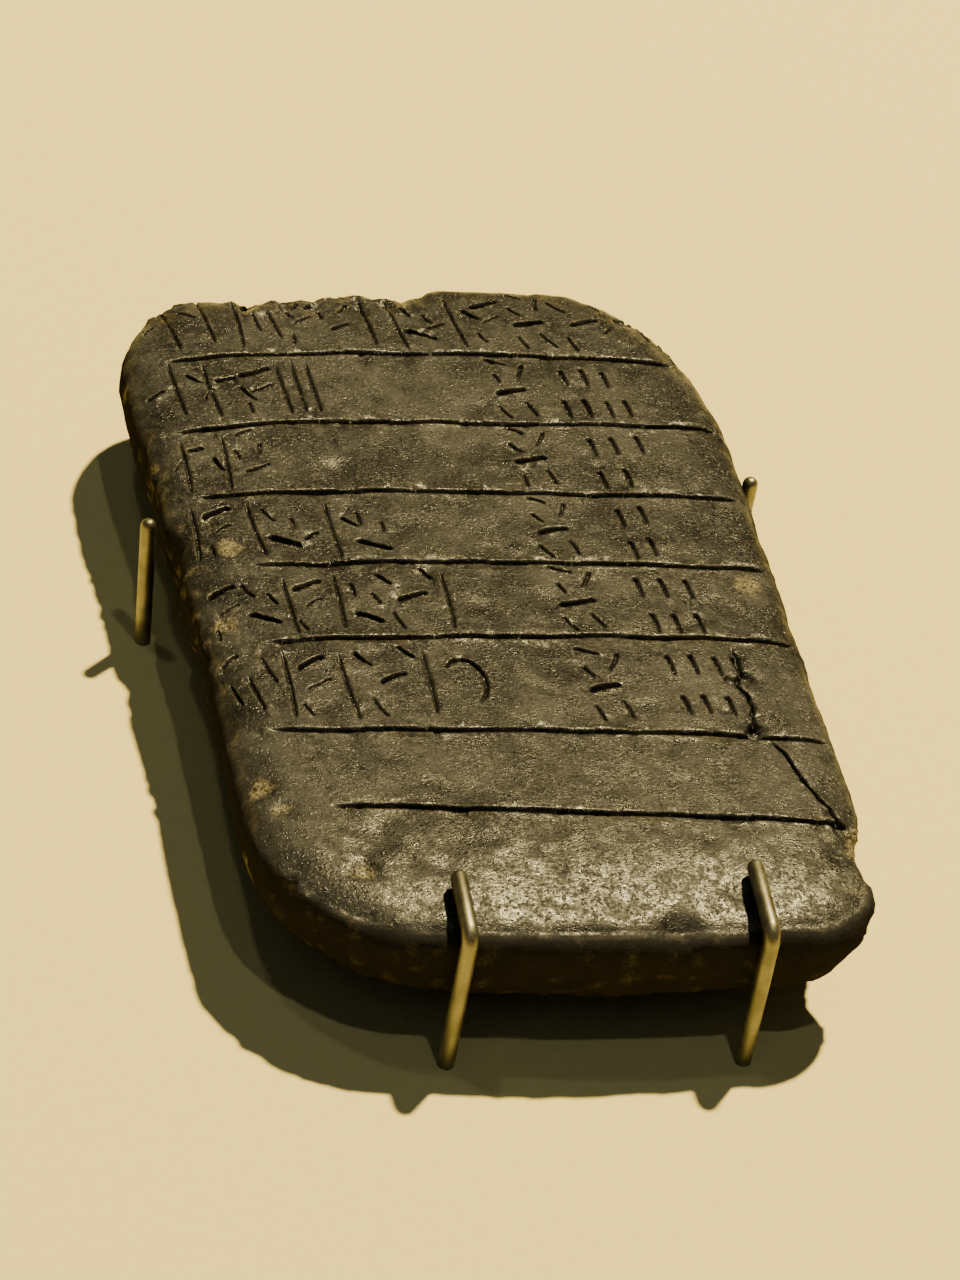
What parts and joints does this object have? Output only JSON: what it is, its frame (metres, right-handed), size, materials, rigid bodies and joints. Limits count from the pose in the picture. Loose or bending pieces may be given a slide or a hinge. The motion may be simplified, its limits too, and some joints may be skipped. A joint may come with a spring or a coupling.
{
  "type": "inscribed clay tablet",
  "caption": "Page-shaped tablet of burnt clay with ruled rows of pressed strokes, lying face up between four wire display pins.",
  "frame": {"origin": "middle of the space the tablet and its pins take, at the level they rest on", "axes": "+X along the ruled lines to the right, +Y from the front edge to the top edge of the page, +Z out of the written face"},
  "size_m": [0.1028, 0.1644, 0.0276],
  "materials": {
    "burnt_clay": "burnished, dark, slightly glossy with pale specks",
    "pin_wire": "satin, fine grained"
  },
  "bodies": {
    "root": {"tablet": "burnt_clay", "front_left_clip": "pin_wire", "front_right_clip": "pin_wire", "left_peg": "pin_wire", "right_peg": "pin_wire"}
  },
  "joints": []
}
